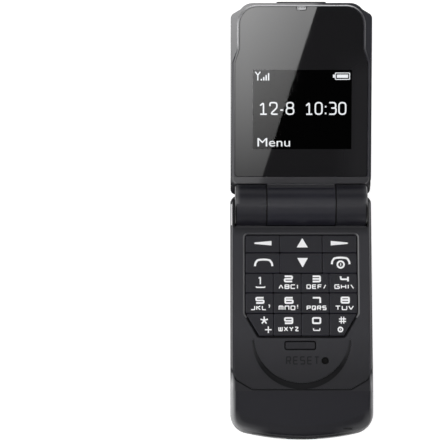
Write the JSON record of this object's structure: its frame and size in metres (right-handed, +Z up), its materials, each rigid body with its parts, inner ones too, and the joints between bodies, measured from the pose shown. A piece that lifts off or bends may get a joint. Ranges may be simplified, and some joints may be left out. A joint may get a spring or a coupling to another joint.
{
  "type": "flip phone",
  "caption": "Folding mobile phone lying open: base with keypad, thin lid with screen, barrel hinge, pressable keys and a sliding battery cover.",
  "frame": {"origin": "middle of the base half's flat back face, on which the open phone lies", "axes": "+X to the phone's right, +Y from the chin towards the lid, +Z up out of the keypad"},
  "size_m": [0.0364, 0.1119, 0.0212],
  "materials": {
    "case_plastic": "fine satin black moulded plastic",
    "plate_plastic": "smooth semi-gloss black moulded plastic",
    "key_plastic": "satin black key caps with pale printed legends",
    "silver_trim": "satin metal-plated plastic",
    "hinge_caps": "polished grey plastic",
    "lens": "clear screen lens, printed black behind its edge",
    "display": "small colour display module",
    "board": "circuit board with solder mask",
    "tin_shield": "tinned sheet",
    "steel": "plain steel",
    "gold_contact": "gold-plated contacts",
    "rubber": "soft black rubber",
    "silicone": "translucent silicone mat",
    "battery_wrap": "plain wrapped cell",
    "flex": "amber polyimide film",
    "card": "plain card",
    "acetal": "self-lubricating plastic"
  },
  "bodies": {
    "base": {"base_front_cover": "plate_plastic", "rear_case": "case_plastic", "lid_stop_pad": "rubber", "hinge_end_caps": "hinge_caps", "battery": "battery_wrap", "battery_contacts": "gold_contact", "main_circuit_board": "board", "rf_shields": "tin_shield", "key_domes": "steel", "keypad_mat": "silicone", "reset_switch": "steel", "microphone": "steel", "loudspeaker": "steel", "vibration_motor": "steel", "sim_holder": "steel", "sim_card": "card", "antenna": "gold_contact", "flex_cable_base": "flex", "base_screws": "steel", "hinge_shaft": "steel", "hinge_cam": "acetal", "hinge_bush": "acetal", "usb_port": "steel"},
    "lid": {"lid_outer_cover": "case_plastic", "lid_silver_trim": "silver_trim", "lid_inner_frame": "plate_plastic", "screen_lens": "lens", "display_panel": "display", "earpiece_speaker": "steel", "earpiece_mesh": "steel", "lid_circuit_board": "board", "lid_magnet": "steel", "lid_screws": "steel", "flex_cable_lid": "flex", "hinge_housing": "steel", "cam_follower": "acetal", "hinge_spring": "steel"},
    "battery_cover": {"battery_cover": "case_plastic"},
    "reset_plunger": {"reset_plunger": "rubber"},
    "key_left": {"key_left": "key_plastic"},
    "key_up": {"key_up": "key_plastic"},
    "key_right": {"key_right": "key_plastic"},
    "key_call": {"key_call": "key_plastic"},
    "key_down": {"key_down": "key_plastic"},
    "key_end": {"key_end": "key_plastic"},
    "key_1": {"key_1": "key_plastic"},
    "key_2": {"key_2": "key_plastic"},
    "key_3": {"key_3": "key_plastic"},
    "key_4": {"key_4": "key_plastic"},
    "key_5": {"key_5": "key_plastic"},
    "key_6": {"key_6": "key_plastic"},
    "key_7": {"key_7": "key_plastic"},
    "key_8": {"key_8": "key_plastic"},
    "key_star": {"key_star": "key_plastic"},
    "key_9": {"key_9": "key_plastic"},
    "key_0": {"key_0": "key_plastic"},
    "key_hash": {"key_hash": "key_plastic"}
  },
  "joints": [
    {"name": "lid_hinge", "type": "hinge", "parent": "base", "child": "lid", "pos_m": [0, 0.0287, 0.008], "axis": [1, 0, 0], "range_deg": [0, 165]},
    {"name": "battery_cover_slide", "type": "slide", "parent": "base", "child": "battery_cover", "axis": [0, -1, 0], "range_m": [0, 0.004]},
    {"name": "reset_press", "type": "slide", "parent": "base", "child": "reset_plunger", "axis": [0, 0, -1], "range_m": [0, 0.0002], "stiffness_N_per_m": 300},
    {"name": "key_left_press", "type": "slide", "parent": "base", "child": "key_left", "axis": [0, 0, -1], "range_m": [0, 0.00025], "stiffness_N_per_m": 300},
    {"name": "key_up_press", "type": "slide", "parent": "base", "child": "key_up", "axis": [0, 0, -1], "range_m": [0, 0.00025], "stiffness_N_per_m": 300},
    {"name": "key_right_press", "type": "slide", "parent": "base", "child": "key_right", "axis": [0, 0, -1], "range_m": [0, 0.00025], "stiffness_N_per_m": 300},
    {"name": "key_call_press", "type": "slide", "parent": "base", "child": "key_call", "axis": [0, 0, -1], "range_m": [0, 0.00025], "stiffness_N_per_m": 300},
    {"name": "key_down_press", "type": "slide", "parent": "base", "child": "key_down", "axis": [0, 0, -1], "range_m": [0, 0.00025], "stiffness_N_per_m": 300},
    {"name": "key_end_press", "type": "slide", "parent": "base", "child": "key_end", "axis": [0, 0, -1], "range_m": [0, 0.00025], "stiffness_N_per_m": 300},
    {"name": "key_1_press", "type": "slide", "parent": "base", "child": "key_1", "axis": [0, 0, -1], "range_m": [0, 0.00025], "stiffness_N_per_m": 300},
    {"name": "key_2_press", "type": "slide", "parent": "base", "child": "key_2", "axis": [0, 0, -1], "range_m": [0, 0.00025], "stiffness_N_per_m": 300},
    {"name": "key_3_press", "type": "slide", "parent": "base", "child": "key_3", "axis": [0, 0, -1], "range_m": [0, 0.00025], "stiffness_N_per_m": 300},
    {"name": "key_4_press", "type": "slide", "parent": "base", "child": "key_4", "axis": [0, 0, -1], "range_m": [0, 0.00025], "stiffness_N_per_m": 300},
    {"name": "key_5_press", "type": "slide", "parent": "base", "child": "key_5", "axis": [0, 0, -1], "range_m": [0, 0.00025], "stiffness_N_per_m": 300},
    {"name": "key_6_press", "type": "slide", "parent": "base", "child": "key_6", "axis": [0, 0, -1], "range_m": [0, 0.00025], "stiffness_N_per_m": 300},
    {"name": "key_7_press", "type": "slide", "parent": "base", "child": "key_7", "axis": [0, 0, -1], "range_m": [0, 0.00025], "stiffness_N_per_m": 300},
    {"name": "key_8_press", "type": "slide", "parent": "base", "child": "key_8", "axis": [0, 0, -1], "range_m": [0, 0.00025], "stiffness_N_per_m": 300},
    {"name": "key_star_press", "type": "slide", "parent": "base", "child": "key_star", "axis": [0, 0, -1], "range_m": [0, 0.00025], "stiffness_N_per_m": 300},
    {"name": "key_9_press", "type": "slide", "parent": "base", "child": "key_9", "axis": [0, 0, -1], "range_m": [0, 0.00025], "stiffness_N_per_m": 300},
    {"name": "key_0_press", "type": "slide", "parent": "base", "child": "key_0", "axis": [0, 0, -1], "range_m": [0, 0.00025], "stiffness_N_per_m": 300},
    {"name": "key_hash_press", "type": "slide", "parent": "base", "child": "key_hash", "axis": [0, 0, -1], "range_m": [0, 0.00025], "stiffness_N_per_m": 300}
  ]
}
